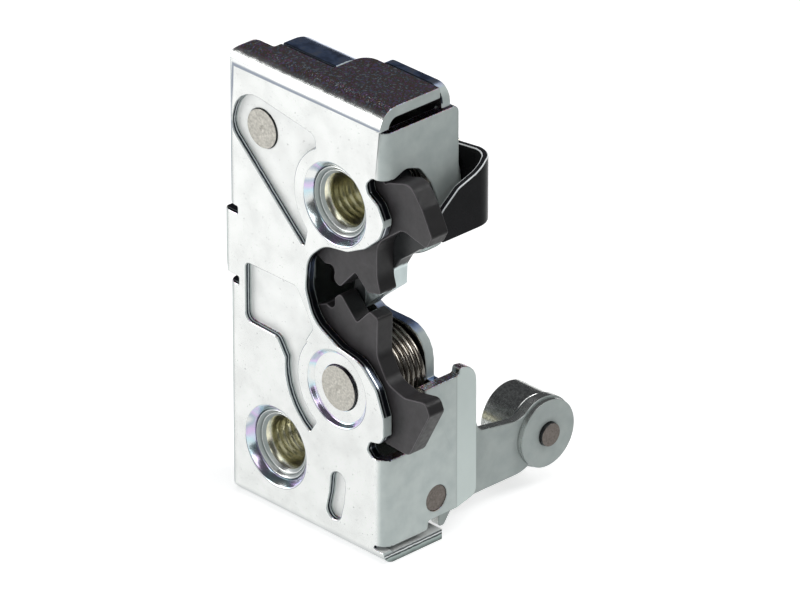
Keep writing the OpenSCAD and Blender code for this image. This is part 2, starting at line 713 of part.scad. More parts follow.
module roller_washer() {
    color("gainsboro") difference() {
        rod(lever_x, lever_x + washer_t, roller_d, roller_depth, roller_z);
        rod(lever_x - 1, lever_x + 4, roller_pin_d, roller_depth, roller_z);
    }
}
module roller() {
    right = lever_x - lever_t - gap;
    color("gainsboro") difference() {
        rod(right - roller_len, right, roller_d, roller_depth, roller_z);
        rod(right - roller_len - 1, right + 1, roller_pin_d + 2 * running, roller_depth, roller_z);
    }
}

// Round wire swept along a path whose steps stay square to the spring's axis
function path_dir(p, i) = unit(p[min(i + 1, len(p) - 1)] - p[max(i - 1, 0)]);
module wire(path, d, axis) {
    sides = 8;
    rings = [for (i = [0:len(path) - 1])
        let (t = path_dir(path, i), u = unit(axis - (axis * t) * t), v = cross(t, u))
        each [for (k = [0:sides - 1])
            path[i] + d / 2 * (cos(360 * k / sides) * u + sin(360 * k / sides) * v)]];
    last = len(path) - 1;
    polyhedron(points = rings, faces = concat(
        [[for (k = [0:sides - 1]) k]],
        [for (i = [0:last - 1], k = [0:sides - 1])
            [i * sides + k, (i + 1) * sides + k, (i + 1) * sides + (k + 1) % sides,
             i * sides + (k + 1) % sides]],
        [[for (k = [sides - 1:-1:0]) last * sides + k]]));
}
// A torsion spring's path about Y: a straight leg, the coil and a second leg
function coil_path(r, pitch, turns, start, leg_a, leg_b, steps = 20) =
    let (n = round(turns * steps), stop = start + 360 * turns,
         at = function(a, y) [r * cos(a), y, r * sin(a)],
         tan_a = [sin(start), 0, -cos(start)], tan_b = [-sin(stop), 0, cos(stop)])
    concat([at(start, 0) + leg_a * tan_a],
        [for (i = [0:n]) at(start + 360 * turns * i / n, pitch * turns * i / n)],
        [at(stop, pitch * turns) + leg_b * tan_b]);

module lower_rotor_spring() {
    room = case_depth - rotor_back - 2 * gap;
    pitch = (room - rotor_wire) / lower_turns;
    coil_r = sleeve_r + lower_play + rotor_wire / 2;
    color("dimgray") translate([pivot_x, deep(rotor_back + gap) + rotor_wire / 2, lower_pivot_z])
        wire(coil_path(coil_r, pitch, lower_turns, 0, 3, 3), rotor_wire, [0, 1, 0]);
}
module upper_rotor_spring() {
    room = case_depth - backing_back - 2 * gap;
    pitch = (room - rotor_wire) / upper_turns;
    coil_r = bush_d / 2 + 0.4 + rotor_wire / 2;
    color("dimgray") translate([0, deep(backing_back + gap) + rotor_wire / 2, 0])
        wire(coil_path(coil_r, pitch, upper_turns, 90, 3, 3), rotor_wire, [0, 1, 0]);
}
module pawl_spring() {
    room = case_depth - rotor_back - 2 * gap;
    turns = 4.5;
    color("dimgray") translate([pawl_x, deep(rotor_back + gap) + small_wire / 2, pawl_z])
        wire(coil_path(hub_d / 2 + 0.4 + small_wire / 2, (room - small_wire) / turns, turns, 0, 2, 3),
            small_wire, [0, 1, 0]);
}
module lever_spring() {
    turns = 1.5;
    room = 3.4 - 2 * 0.3;
    color("dimgray") translate([lever_x - lever_t - 0.3 - small_wire / 2, deep(pin_depth), pin_z])
        rotate([0, 0, 90]) wire(coil_path(pin_d / 2 + 0.4 + small_wire / 2, (room - small_wire) / turns,
            turns, 0, 2, 3), small_wire, [0, 1, 0]);
}

front_case();
back_plate();
upper_bush();
lower_bush();
lower_rotor_pivot();
pawl_shaft();
shaft_ring();
strap_ring();
striker_buffer();
lever_pin();
upper_rotor();
upper_backing_plate();
lower_rotor();
pawl();
pawl_hub();
drive_arm();
drive_stud();
release_strap();
link_stud();
release_link();
release_lever();
roller_pin();
roller_washer();
roller();
upper_rotor_spring();
lower_rotor_spring();
pawl_spring();
lever_spring();
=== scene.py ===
"""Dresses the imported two-rotor door latch: plated case, coated rotors, threaded bushes and springs."""

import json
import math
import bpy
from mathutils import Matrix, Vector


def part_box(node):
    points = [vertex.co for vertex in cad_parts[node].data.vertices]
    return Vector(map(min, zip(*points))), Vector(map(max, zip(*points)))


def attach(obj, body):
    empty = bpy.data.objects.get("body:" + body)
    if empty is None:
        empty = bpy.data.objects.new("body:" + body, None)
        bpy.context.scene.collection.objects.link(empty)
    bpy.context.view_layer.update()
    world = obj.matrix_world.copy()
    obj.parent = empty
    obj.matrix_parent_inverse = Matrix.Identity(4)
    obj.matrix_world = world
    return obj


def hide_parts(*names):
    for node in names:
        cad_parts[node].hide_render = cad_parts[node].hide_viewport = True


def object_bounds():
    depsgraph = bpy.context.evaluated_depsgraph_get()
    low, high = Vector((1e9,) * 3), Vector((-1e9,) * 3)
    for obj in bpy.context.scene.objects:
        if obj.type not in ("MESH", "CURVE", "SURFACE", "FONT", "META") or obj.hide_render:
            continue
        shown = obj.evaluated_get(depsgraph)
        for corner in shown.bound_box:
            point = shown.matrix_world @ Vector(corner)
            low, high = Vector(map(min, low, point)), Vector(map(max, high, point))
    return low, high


bl_info = {
    "name": "Two-rotor door latch",
    "version": (1, 0, 0),
    "blender": (4, 5, 0),
    "location": "View3D > Sidebar > Latch",
    "description": "Builds the looks of a vehicle door latch around its packed frame",
    "category": "Object",
}

import bmesh
import bpy
from mathutils import Matrix, Vector
from mathutils.bvhtree import BVHTree

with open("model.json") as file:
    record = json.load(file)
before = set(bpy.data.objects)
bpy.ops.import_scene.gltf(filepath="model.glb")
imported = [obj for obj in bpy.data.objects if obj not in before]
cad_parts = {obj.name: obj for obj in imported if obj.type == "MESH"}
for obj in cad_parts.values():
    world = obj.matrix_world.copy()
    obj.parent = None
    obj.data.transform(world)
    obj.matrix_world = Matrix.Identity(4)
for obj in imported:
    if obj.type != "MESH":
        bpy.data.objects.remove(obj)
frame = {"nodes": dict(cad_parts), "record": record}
CAD_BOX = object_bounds()

MM = 0.001
IMAGE_WIDTH = 800
BACK = Vector((0, 1, 0))

# The body of each node, and the place of each mount
BODY_OF = {node: body for body, nodes in frame["record"]["behaviour"]["bodies"].items() for node in nodes}
MOUNTS = {mount["name"]: Vector(mount["pos_m"]) for mount in frame["record"]["mounts"]}

# Depths of the case: its front face, the floors of its formed recesses and the fold of its ear
FACE_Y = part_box("front_case")[0].y
RECESS_FLOOR = FACE_Y + 1.6 * MM
EAR_FOLD = 18.3 * MM

# An edge sharper than this is rounded, and a rounded point may stray this share of the edge's width
SHARP_EDGE = math.radians(38)
STRAY = 0.6


def centre(node):
    """Middle of a node's box."""
    low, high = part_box(node)
    return (low + high) / 2


# Properties

class LatchSizes(bpy.types.PropertyGroup):
    """Sizes of the edges, threads and dimples."""

    sheet_edge: bpy.props.FloatProperty(
        name="Sheet edge", description="Width of the eased edge on the pressed sheet",
        default=0.28 * MM, min=0, max=1 * MM, subtype="DISTANCE", unit="LENGTH")
    rotor_edge: bpy.props.FloatProperty(
        name="Rotor edge", description="Width of the rounded edge on the coated rotors",
        default=0.24 * MM, min=0, max=1 * MM, subtype="DISTANCE", unit="LENGTH")
    thread_pitch: bpy.props.FloatProperty(
        name="Thread pitch", description="Distance between the turns of the fixing threads",
        default=1.75 * MM, min=1 * MM, max=3 * MM, subtype="DISTANCE", unit="LENGTH")
    thread_height: bpy.props.FloatProperty(
        name="Thread height", description="Height of the thread's ridge over its root",
        default=0.09 * MM, min=0.05 * MM, max=0.9 * MM, subtype="DISTANCE", unit="LENGTH")
    dimple_radius: bpy.props.FloatProperty(
        name="Dimple radius", description="Radius of the conical dimple around a fixing",
        default=9.4 * MM, min=8 * MM, max=11 * MM, subtype="DISTANCE", unit="LENGTH")


class LatchFinishes(bpy.types.PropertyGroup):
    """Colours of the finishes."""

    zinc: bpy.props.FloatVectorProperty(
        name="Zinc", description="Colour of the bright zinc plate",
        default=(0.77, 0.785, 0.77), min=0, max=1, subtype="COLOR")
    rotor: bpy.props.FloatVectorProperty(
        name="Rotor coating", description="Colour of the moulded coating on the rotors",
        default=(0.029, 0.027, 0.029), min=0, max=1, subtype="COLOR")
    strap: bpy.props.FloatVectorProperty(
        name="Strap", description="Colour of the gloss black coat",
        default=(0.006, 0.006, 0.007), min=0, max=1, subtype="COLOR")
    bore: bpy.props.FloatVectorProperty(
        name="Thread plating", description="Colour of the yellowish plating in the threads",
        default=(0.64, 0.625, 0.49), min=0, max=1, subtype="COLOR")
    rivet: bpy.props.FloatVectorProperty(
        name="Rivet ends", description="Colour of the plain riveted steel",
        default=(0.50, 0.485, 0.44), min=0, max=1, subtype="COLOR")


class LatchStage(bpy.types.PropertyGroup):
    """Camera of the studio."""

    azimuth: bpy.props.FloatProperty(
        name="Azimuth", description="Camera's turn from the front towards the mouth side",
        default=math.radians(46.14), subtype="ANGLE", unit="ROTATION")
    elevation: bpy.props.FloatProperty(
        name="Elevation", description="Camera's height over the horizon",
        default=math.radians(27.29), subtype="ANGLE", unit="ROTATION")
    distance: bpy.props.FloatProperty(
        name="Distance", description="Camera's distance from the point that it looks at",
        default=1.8, min=0.2, max=8, subtype="DISTANCE", unit="LENGTH")
    look_at: bpy.props.FloatVectorProperty(
        name="Look at", description="Point at the middle of the picture",
        default=(8.65 * MM, 7.52 * MM, -22.85 * MM), subtype="XYZ", unit="LENGTH")
    focal_pixels: bpy.props.FloatProperty(
        name="Focal length", description="Focal length in pixels of the 800 pixel wide picture",
        default=8618, min=500, max=40000)


# Meshes

def weigh_normals(piece):
    """Turns the corner normals towards the large faces, so that flat sheet shades flat."""
    weighted = piece.modifiers.new("Weighted normals", "WEIGHTED_NORMAL")
    weighted.mode = "FACE_AREA_WITH_ANGLE"
    weighted.weight = 100
    weighted.thresh = 0.001
    weighted.keep_sharp = True
    graph = bpy.context.evaluated_depsgraph_get()
    old = piece.data
    name = old.name
    piece.data = bpy.data.meshes.new_from_object(piece.evaluated_get(graph), depsgraph=graph)
    piece.modifiers.clear()
    bpy.data.meshes.remove(old)
    piece.data.name = name


def finish_mesh(mesh, node, crease=35, weigh=False):
    """Makes an object of a finished mesh, which stands for a node and rides on its body."""
    mesh.name = f"{node}_dressed"
    piece = bpy.data.objects.new(mesh.name, mesh)
    bpy.context.scene.collection.objects.link(piece)
    mesh.shade_smooth()
    mesh.set_sharp_from_angle(angle=math.radians(crease))
    if weigh:
        weigh_normals(piece)
    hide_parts(node)
    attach(piece, BODY_OF[node])
    return piece


def baked(carrier):
    """Plain mesh of an object as its modifiers leave it; the object itself is removed."""
    name = carrier.name
    graph = bpy.context.evaluated_depsgraph_get()
    mesh = bpy.data.meshes.new_from_object(carrier.evaluated_get(graph), depsgraph=graph)
    carrier.modifiers.clear()
    old = carrier.data
    bpy.data.objects.remove(carrier)
    bpy.data.meshes.remove(old)
    mesh.name = name
    return mesh


def merged_copy(node, shortest=0.06 * MM):
    """Copy of a node's mesh with its loose triangles joined and its flat faces made whole."""
    mesh = frame["nodes"][node].data.copy()
    mesh.materials.clear()
    work = bmesh.new()
    work.from_mesh(mesh)
    bmesh.ops.remove_doubles(work, verts=work.verts, dist=0.002 * MM)
    bmesh.ops.dissolve_degenerate(work, dist=shortest, edges=work.edges)
    bmesh.ops.dissolve_limit(work, angle_limit=math.radians(0.6), verts=work.verts, edges=work.edges)
    work.to_mesh(mesh)
    work.free()
    return mesh


def hold_near(mesh, shape, reach):
    """Brings points that an edge threw out back onto the shape."""
    for point in mesh.vertices:
        near, _, _, distance = shape.find_nearest(point.co)
        if distance > reach:
            point.co = near


def eased_copy(node, material, width, segments=2, painted_highlight=None):
    """A node's shape with its sharp edges rounded off, standing for the node."""
    plain = merged_copy(node)
    points = [point.co for point in plain.vertices]
    shape = BVHTree.FromPolygons(points, [face.vertices for face in plain.polygons])
    plain.materials.append(material)
    carrier = bpy.data.objects.new(f"{node}_dressed", plain)
    bpy.context.scene.collection.objects.link(carrier)
    bevel = carrier.modifiers.new("Eased edges", "BEVEL")
    bevel.width = width
    bevel.segments = segments
    bevel.limit_method = "ANGLE"
    bevel.angle_limit = SHARP_EDGE
    bevel.miter_outer = "MITER_ARC"
    bevel.use_clamp_overlap = False
    bevel.loop_slide = False
    # The rounded edges may take a second material, a painted highlight
    if painted_highlight is not None:
        plain.materials.append(painted_highlight)
        bevel.material = 1
    mesh = baked(carrier)
    hold_near(mesh, shape, STRAY * width)
    return finish_mesh(mesh, node, weigh=True)


def second_material(piece, material, picks):
    """Gives the faces that the test picks a further material."""
    piece.data.materials.append(material)
    number = len(piece.data.materials) - 1
    for face in piece.data.polygons:
        if picks(face):
            face.material_index = number


def fillet(points, radius, steps=3):
    """A profile's corners rounded: points are (along, out); its ends and straight parts stay."""
    smooth = [points[0]]
    for before, corner, after in zip(points, points[1:], points[2:]):
        a, p, b = Vector(before), Vector(corner), Vector(after)
        u, v = (a - p), (b - p)
        half = math.acos(max(-0.9999, min(0.9999, u.normalized().dot(v.normalized())))) / 2
        reach = min(radius / math.tan(half), u.length * 0.45, v.length * 0.45)
        if half > math.radians(86):
            smooth.append(corner)
            continue
        start, stop = p + u.normalized() * reach, p + v.normalized() * reach
        for step in range(steps + 1):
            t = step / steps
            smooth.append(tuple((1 - t) ** 2 * start + 2 * t * (1 - t) * p + t * t * stop))
    smooth.append(points[-1])
    return smooth


def turned_mesh(name, profile, base, axis, sides=96):
    """Surface of revolution: profile is (along, out) pairs in metres from base along axis."""
    axis = axis.normalized()
    side = axis.orthogonal().normalized()
    other = axis.cross(side)
    work = bmesh.new()
    rings = []
    for along, out in profile:
        point = base + axis * along
        if out < 1e-7:
            rings.append([work.verts.new(point)])
            continue
        turns = [2 * math.pi * k / sides for k in range(sides)]
        spokes = [math.cos(t) * side + math.sin(t) * other for t in turns]
        rings.append([work.verts.new(point + out * spoke) for spoke in spokes])
    for near, far in zip(rings, rings[1:]):
        for k in range(sides):
            after = (k + 1) % sides
            outer = [far[k % len(far)], far[after % len(far)]]
            unique = list(dict.fromkeys([near[k % len(near)], *outer, near[after % len(near)]]))
            if len(unique) > 2:
                work.faces.new(unique)
    bmesh.ops.recalc_face_normals(work, faces=work.faces)
    mesh = bpy.data.meshes.new(name)
    work.to_mesh(mesh)
    work.free()
    return mesh


# Node trees

class Nodes:
    """Short calls for building a node tree."""

    def add(self, kind, inputs=None, **settings):
        """A new node with these settings and inputs."""
        made = self.tree.nodes.new(kind)
        for key, setting in settings.items():
            setattr(made, key, setting)
        for key, source in (inputs or {}).items():
            self.feed(source, made.inputs[key])
        return made

    def feed(self, source, target):
        """Links a socket to an input, or gives the input a value."""
        if isinstance(source, bpy.types.NodeSocket):
            self.tree.links.new(source, target)
        else:
            target.default_value = source

    def math(self, operation, a, b=0.0, c=0.0):
        """Result of a math node."""
        return self.add("ShaderNodeMath", {0: a, 1: b, 2: c}, operation=operation).outputs[0]


class Grove(Nodes):
    """A geometry node tree with named inputs."""

    def __init__(self, name, inputs):
        self.tree = bpy.data.node_groups.new(name, "GeometryNodeTree")
        self.tree.interface.new_socket("Geometry", in_out="OUTPUT", socket_type="NodeSocketGeometry")
        self.sockets = {}
        for label, kind, default in inputs:
            socket = self.tree.interface.new_socket(label, in_out="INPUT", socket_type=f"NodeSocket{kind}")
            socket.default_value = default
            self.sockets[label] = socket.identifier
        self.given = self.tree.nodes.new("NodeGroupInput")
        self.result = self.tree.nodes.new("NodeGroupOutput")

    def value(self, label):
        """One of the tree's own inputs."""
        return self.given.outputs[label]

    def vector(self, x, y, z):
        """Vector of three values."""
        return self.add("ShaderNodeCombineXYZ", {0: x, 1: y, 2: z}).outputs[0]

    def close(self, geometry, material):
        """Realizes the instances, sets the material and ends the tree."""
        real = self.add("GeometryNodeRealizeInstances", {0: geometry})
        coloured = self.add("GeometryNodeSetMaterial", {"Geometry": real.outputs[0], "Material": material})
        self.tree.links.new(coloured.outputs[0], self.result.inputs[0])

    def run(self, name, **values):
        """Plain mesh that the tree makes with these inputs."""
        carrier = bpy.data.objects.new(name, bpy.data.meshes.new(name))
        bpy.context.scene.collection.objects.link(carrier)
        modifier = carrier.modifiers.new("Nodes", "NODES")
        modifier.node_group = self.tree
        for label, value in values.items():
            modifier[self.sockets[label.replace("_", " ").capitalize()]] = value
        return baked(carrier)


def coil_tree(material):
    """A torsion spring's wire: a straight leg, the coil about Y and a second leg."""
    grove = Grove("Coiled wire", [
        ("Coil radius", "Float", 8 * MM), ("Turns", "Float", 4.0), ("Rise", "Float", 7 * MM),
        ("Start angle", "Float", 0.0), ("Leg", "Float", 3 * MM), ("Wire radius", "Float", 0.8 * MM),
        ("Points", "Int", 200)])
    count = grove.value("Points")
    line = grove.add("GeometryNodeMeshLine", {"Count": count})
    index = grove.add("GeometryNodeInputIndex").outputs[0]
    last = grove.math("SUBTRACT", count, 1.0)
    along = grove.math("DIVIDE", grove.math("SUBTRACT", index, 1.0), grove.math("SUBTRACT", count, 3.0))
    along = grove.math("MINIMUM", grove.math("MAXIMUM", along, 0.0), 1.0)
    angle = grove.math("MULTIPLY_ADD", grove.math("MULTIPLY", along, grove.value("Turns")), 2 * math.pi,
                       grove.value("Start angle"))
    cosine, sine = grove.math("COSINE", angle), grove.math("SINE", angle)
    at_end = grove.math("COMPARE", index, last, 0.5)
    at_start = grove.math("COMPARE", index, 0.0, 0.5)
    leg = grove.math("MULTIPLY", grove.math("SUBTRACT", at_end, at_start), grove.value("Leg"))
    radius = grove.value("Coil radius")
    inwards = grove.math("MULTIPLY", leg, grove.math("MULTIPLY", sine, -1.0))
    x = grove.math("MULTIPLY_ADD", radius, cosine, inwards)
    z = grove.math("MULTIPLY_ADD", radius, sine, grove.math("MULTIPLY", leg, cosine))
    y = grove.math("MULTIPLY", along, grove.value("Rise"))
    placed = grove.add("GeometryNodeSetPosition",
                       {"Geometry": line.outputs[0], "Position": grove.vector(x, y, z)})
    path = grove.add("GeometryNodeMeshToCurve", {0: placed.outputs[0]})
    ring = grove.add("GeometryNodeCurvePrimitiveCircle",
                     {"Resolution": 14, "Radius": grove.value("Wire radius")})
    wire = grove.add("GeometryNodeCurveToMesh",
                     {"Curve": path.outputs[0], "Profile Curve": ring.outputs[0], "Fill Caps": True})
    grove.close(wire.outputs[0], material)
    return grove


def thread_tree(material):
    """An internal thread about Y: a tube whose radius dips along a helix and runs out at both ends."""
    steepness, run_out = 1.35, 0.6
    grove = Grove("Internal thread", [
        ("Root radius", "Float", 6 * MM), ("Ridge height", "Float", 0.9 * MM),
        ("Pitch", "Float", 1.75 * MM), ("Length", "Float", 16 * MM),
        ("Around", "Int", 97), ("Steps", "Int", 150)])
    length, pitch = grove.value("Length"), grove.value("Pitch")
    grid = grove.add("GeometryNodeMeshGrid", {
        "Size X": 1.0, "Size Y": 1.0,
        "Vertices X": grove.value("Around"), "Vertices Y": grove.value("Steps")})
    place = grove.add("ShaderNodeSeparateXYZ", {0: grove.add("GeometryNodeInputPosition").outputs[0]})
    round_part = grove.math("ADD", place.outputs[0], 0.5)
    depth = grove.math("MULTIPLY", grove.math("ADD", place.outputs[1], 0.5), length)
    phase = grove.math("FRACT", grove.math("SUBTRACT", grove.math("DIVIDE", depth, pitch), round_part))
    slope = grove.math("ABSOLUTE", grove.math("MULTIPLY_ADD", phase, 2.0, -1.0))
    ridge = grove.math("MINIMUM", grove.math("MULTIPLY", slope, steepness), 1.0)
    end = grove.math("MINIMUM", depth, grove.math("SUBTRACT", length, depth))
    fade = grove.math("MINIMUM", grove.math("DIVIDE", end, grove.math("MULTIPLY", pitch, run_out)), 1.0)
    dip = grove.math("MULTIPLY", grove.math("MULTIPLY", ridge, fade), grove.value("Ridge height"))
    radius = grove.math("SUBTRACT", grove.value("Root radius"), dip)
    angle = grove.math("MULTIPLY", round_part, 2 * math.pi)
    where = grove.vector(grove.math("MULTIPLY", radius, grove.math("COSINE", angle)), depth,
                         grove.math("MULTIPLY", radius, grove.math("SINE", angle)))
    placed = grove.add("GeometryNodeSetPosition", {"Geometry": grid.outputs[0], "Position": where})
    sealed = grove.add("GeometryNodeMergeByDistance",
                       {"Geometry": placed.outputs[0], "Distance": 0.002 * MM})
    grove.close(sealed.outputs[0], material)
    return grove


# Materials

class Finish(Nodes):
    """A material's node tree on Object coordinates."""

    def __init__(self, name, metallic, roughness, sockets=None):
        self.material = bpy.data.materials.new(name)
        self.material.use_nodes = True
        self.tree = self.material.node_tree
        self.shader = self.tree.nodes["Principled BSDF"]
        self.shader.inputs["Metallic"].default_value = metallic
        self.shader.inputs["Roughness"].default_value = roughness
        for key, value in (sockets or {}).items():
            self.shader.inputs[key].default_value = value
        self.where = self.add("ShaderNodeTexCoord")
        self.relief = None

    def axes(self, kind):
        """X, Y and Z of the place, Object, or of the way the surface faces, Normal."""
        return self.add("ShaderNodeSeparateXYZ", {0: self.where.outputs[kind]}).outputs

    def noise(self, grain, detail=3, seed=0.0):
        """Noise whose features are about grain metres across."""
        mapping = self.add("ShaderNodeMapping", {"Vector": self.where.outputs["Object"],
                                                 "Location": (seed, seed * 2, seed * 3)})
        made = self.add("ShaderNodeTexNoise",
                        {"Vector": mapping.outputs[0], "Scale": 1 / grain, "Detail": detail})
        return made.outputs[0]

    def spread(self, value, low, high, out_low=0.0, out_high=1.0):
        """Stretches a value's range low..high to out_low..out_high."""
        made = self.add("ShaderNodeMapRange", {"Value": value, "From Min": low, "From Max": high,
                                               "To Min": out_low, "To Max": out_high})
        return made.outputs[0]

    def cloud(self, grain, detail=3, seed=0.0, low=0.0, high=1.0):
        """Soft blotches about grain metres across, between low and high."""
        return self.spread(self.noise(grain, detail, seed), 0.3, 0.7, low, high)

    def wobble(self, grain, width, detail=3):
        """Length that wanders about zero, for a boundary that isn't straight."""
        return self.math("MULTIPLY", self.math("SUBTRACT", self.noise(grain, detail), 0.5), width)

    def ramp(self, value, stops):
        """Colour at a value between 0 and 1, from stops of place and colour."""
        made = self.add("ShaderNodeValToRGB", {"Fac": value})
        ramp = made.color_ramp
        while len(ramp.elements) < len(stops):
            ramp.elements.new(0.5)
        for element, (place, color) in zip(ramp.elements, stops):
            element.position = place
            element.color = (*color, 1)
        return made.outputs[0]

    def mix(self, factor, a, b):
        """Colour a where the factor is 0, and b where it is 1."""
        made = self.add("ShaderNodeMix", data_type="RGBA")
        self.feed(factor, made.inputs[0])
        for source, target in ((a, made.inputs[6]), (b, made.inputs[7])):
            self.feed((*source, 1) if isinstance(source, (tuple, list)) else source, target)
        return made.outputs[2]

    def color(self, source):
        self.feed(source, self.shader.inputs["Base Color"])

    def metallic(self, source):
        self.feed(source, self.shader.inputs["Metallic"])

    def roughness(self, source):
        self.feed(source, self.shader.inputs["Roughness"])

    def bump(self, height, depth):
        """Adds a relief of depth metres from a height between 0 and 1."""
        made = self.add("ShaderNodeBump", {"Height": height, "Distance": depth, "Strength": 1.0})
        if self.relief is not None:
            self.feed(self.relief, made.inputs["Normal"])
        self.relief = made.outputs[0]
        self.feed(self.relief, self.shader.inputs["Normal"])


def shade(color, factor):
    """A colour made lighter or darker."""
    return tuple(min(1.0, channel * factor) for channel in color)


def finish(name, build, *values, **settings):
    """The named material, built once."""
    known = bpy.data.materials.get(name)
    return known if known is not None else build(name, *values, **settings)


# Tones that the zinc takes on faces turned up: on the peeled top, and on the smooth rear flange
PEELED = [(0.0, (0.55, 0.60, 1.0)), (0.2, (0.85, 0.42, 0.70)), (0.4, (0.30, 0.22, 0.20)),
          (0.55, (0.66, 0.54, 0.34)), (0.7, (0.24, 0.30, 0.44)), (0.85, (0.60, 0.72, 1.0)),
          (1.0, (1.0, 1.0, 1.0))]
BLUED = [(0.0, (0.16, 0.22, 0.40)), (0.5, (0.36, 0.50, 0.86)), (1.0, (0.56, 0.62, 0.80))]

# Painted shade on the zinc: its tone on the side walls and, lighter, beyond the ear's fold, the dark line
# along that fold, the painted shade on faces turned left or down, and the line where the top fold ends
SIDE_SHADE_DARK, SIDE_SHADE_LIGHT = (0.45, 0.51, 0.50), (0.54, 0.60, 0.58)
EAR_SIDE_SHADE, FOLD_LINE = (0.56, 0.63, 0.61), (0.30, 0.34, 0.33)
UNDERSIDE_SHADE, TANGENT_LINE = (0.16, 0.19, 0.20), (0.26, 0.29, 0.34)

# Layers seen at the end of the bottom flange, from below upwards: darker towards the bottom, with black
# stripes of painted shadow in the gaps between the layers
FLANGE_LAYERS_AND_SHADE = [
    (0.0, (0.02, 0.025, 0.025)), (0.16, (0.14, 0.17, 0.16)), (0.48, (0.34, 0.40, 0.38)),
    (0.56, (0.02, 0.02, 0.025)), (0.66, (0.10, 0.12, 0.12)), (0.74, (0.75, 0.78, 0.78)),
    (0.82, (0.03, 0.03, 0.035)), (1.0, (0.30, 0.33, 0.33))]


def side_shade_tone(made, place, fold, side):
    """Painted shade on the zinc of the side walls, lighter beyond the ear's fold and dark along it."""
    painted_side_shade = made.mix(made.cloud(3.2 * MM, 5, 3.1), shade(SIDE_SHADE_DARK, side), shade(SIDE_SHADE_LIGHT, side))
    if fold is None:
        return painted_side_shade
    beyond = made.spread(place[1], fold - 0.1 * MM, fold + 0.1 * MM)
    apart = made.math("ABSOLUTE", made.math("SUBTRACT", place[1], fold))
    along = made.spread(apart, 0.22 * MM, 0.08 * MM, 0.0, 0.5)
    return made.mix(along, made.mix(beyond, painted_side_shade, EAR_SIDE_SHADE), FOLD_LINE)


def zinc_finish(name, color, rough=0.2, grain=0.004 * MM, peel=0.0, fold=None, above_tones=None,
                shine=1.0, side=1.0):
    """Bright zinc plate: blotched and finely grained, with painted shade on its sides and on faces turned
    left or down.
    """
    made = Finish(name, shine, rough)
    facing = made.axes("Normal")
    # Faces turned sideways take the painted side shade, and are also less metallic and rougher
    sideways = made.spread(made.math("ABSOLUTE", facing[0]), 0.12, 0.55)
    # Faces turned left or down get painted shade
    leftwards = made.math("MULTIPLY", facing[0], -1.0)
    downwards = made.math("MULTIPLY", facing[2], -1.0)
    painted_underside_mask = made.spread(made.math("MAXIMUM", leftwards, downwards), 0.05, 0.75, 0.0, 0.6)
    upwards = made.spread(facing[2], 0.66 if peel else 0.78, 0.84 if peel else 0.97)

    blotch = made.spread(made.noise(6 * MM, 4, 1.3), 0.35, 0.65)
    speck = made.spread(made.noise(0.55 * MM, 3, 4.1), 0.66, 0.78)
    tone = made.mix(blotch, shade(color, 0.93), shade(color, 1.05))
    tone = made.mix(speck, tone, shade(color, 0.62))
    tone = made.mix(sideways, tone, side_shade_tone(made, made.axes("Object"), fold, side))
    tone = made.mix(painted_underside_mask, tone, UNDERSIDE_SHADE)
    if peel:
        starts, stops = made.spread(facing[2], 0.01, 0.05), made.spread(facing[2], 0.22, 0.14)
        forwards = made.spread(facing[1], -0.8, -0.9)
        tangent = made.math("MULTIPLY", made.math("MULTIPLY", starts, stops), forwards)
        tone = made.mix(tangent, tone, TANGENT_LINE)
    if above_tones is not None:
        mottle = made.noise((0.7 if peel else 3.0) * MM, 6, 5.5)
        tone = made.mix(upwards, tone, made.ramp(made.spread(mottle, 0.36, 0.64), above_tones))
    made.color(tone)

    made.metallic(made.spread(sideways, 0.0, 1.0, shine, 0.2 * shine))
    even = made.cloud(2.2 * MM, 3, 7.7, rough - 0.05, rough + 0.07)
    even = made.math("MULTIPLY_ADD", upwards, -0.04, even)
    made.roughness(made.math("MULTIPLY_ADD", sideways, 0.34, even))
    if peel:
        lumps = made.noise(0.45 * MM, 3, 9.2)
        made.bump(made.math("MULTIPLY", lumps, made.spread(facing[2], 0.62, 0.9)), peel)
    made.bump(made.noise(0.35 * MM, 3, 2.2), grain)
    return made.material


def flange_finish(name, bottom, depth):
    """End of the bottom flange, where its layers show as stripes, with painted shadow in the gaps between
    them.
    """
    made = Finish(name, 1.0, 0.3)
    height = made.math("ADD", made.axes("Object")[2], made.wobble(1.2 * MM, 0.5 * MM))
    made.color(made.ramp(made.spread(height, bottom, bottom + depth), FLANGE_LAYERS_AND_SHADE))
    made.bump(made.noise(0.3 * MM), 0.01 * MM)
    return made.material


def shaded_edge_finish(name):
    """Cut edge of the sheet: painted dark as shade, with one painted highlight line 0.9 mm behind the
    front face.
    """
    made = Finish(name, 1.0, 0.3)
    depth = made.math("ADD", made.axes("Object")[1], made.wobble(1.5 * MM, 0.25 * MM, 2))
    apart = made.math("ABSOLUTE", made.math("SUBTRACT", depth, FACE_Y + 0.9 * MM))
    line = made.spread(apart, 0.22 * MM, 0.06 * MM)
    # Painted shade on the cut wall and a painted highlight line along it
    made.color(made.mix(line, (0.030, 0.036, 0.048), (0.55, 0.60, 0.62)))
    made.bump(made.noise(0.3 * MM), 0.01 * MM)
    return made.material


def dimple_finish(name, color):
    """Zinc in a conical dimple, with the bluish and violet tints of its passivation."""
    made = Finish(name, 1.0, 0.2)
    made.color(made.ramp(made.cloud(7 * MM, 1.5, 3.4), [
        (0.0, shade(color, 0.9)), (0.35, (0.50, 0.66, 0.72)), (0.55, (0.62, 0.50, 0.72)),
        (0.75, (0.42, 0.48, 0.56)), (1.0, shade(color, 0.95))]))
    made.bump(made.noise(0.5 * MM, 2), 0.004 * MM)
    return made.material


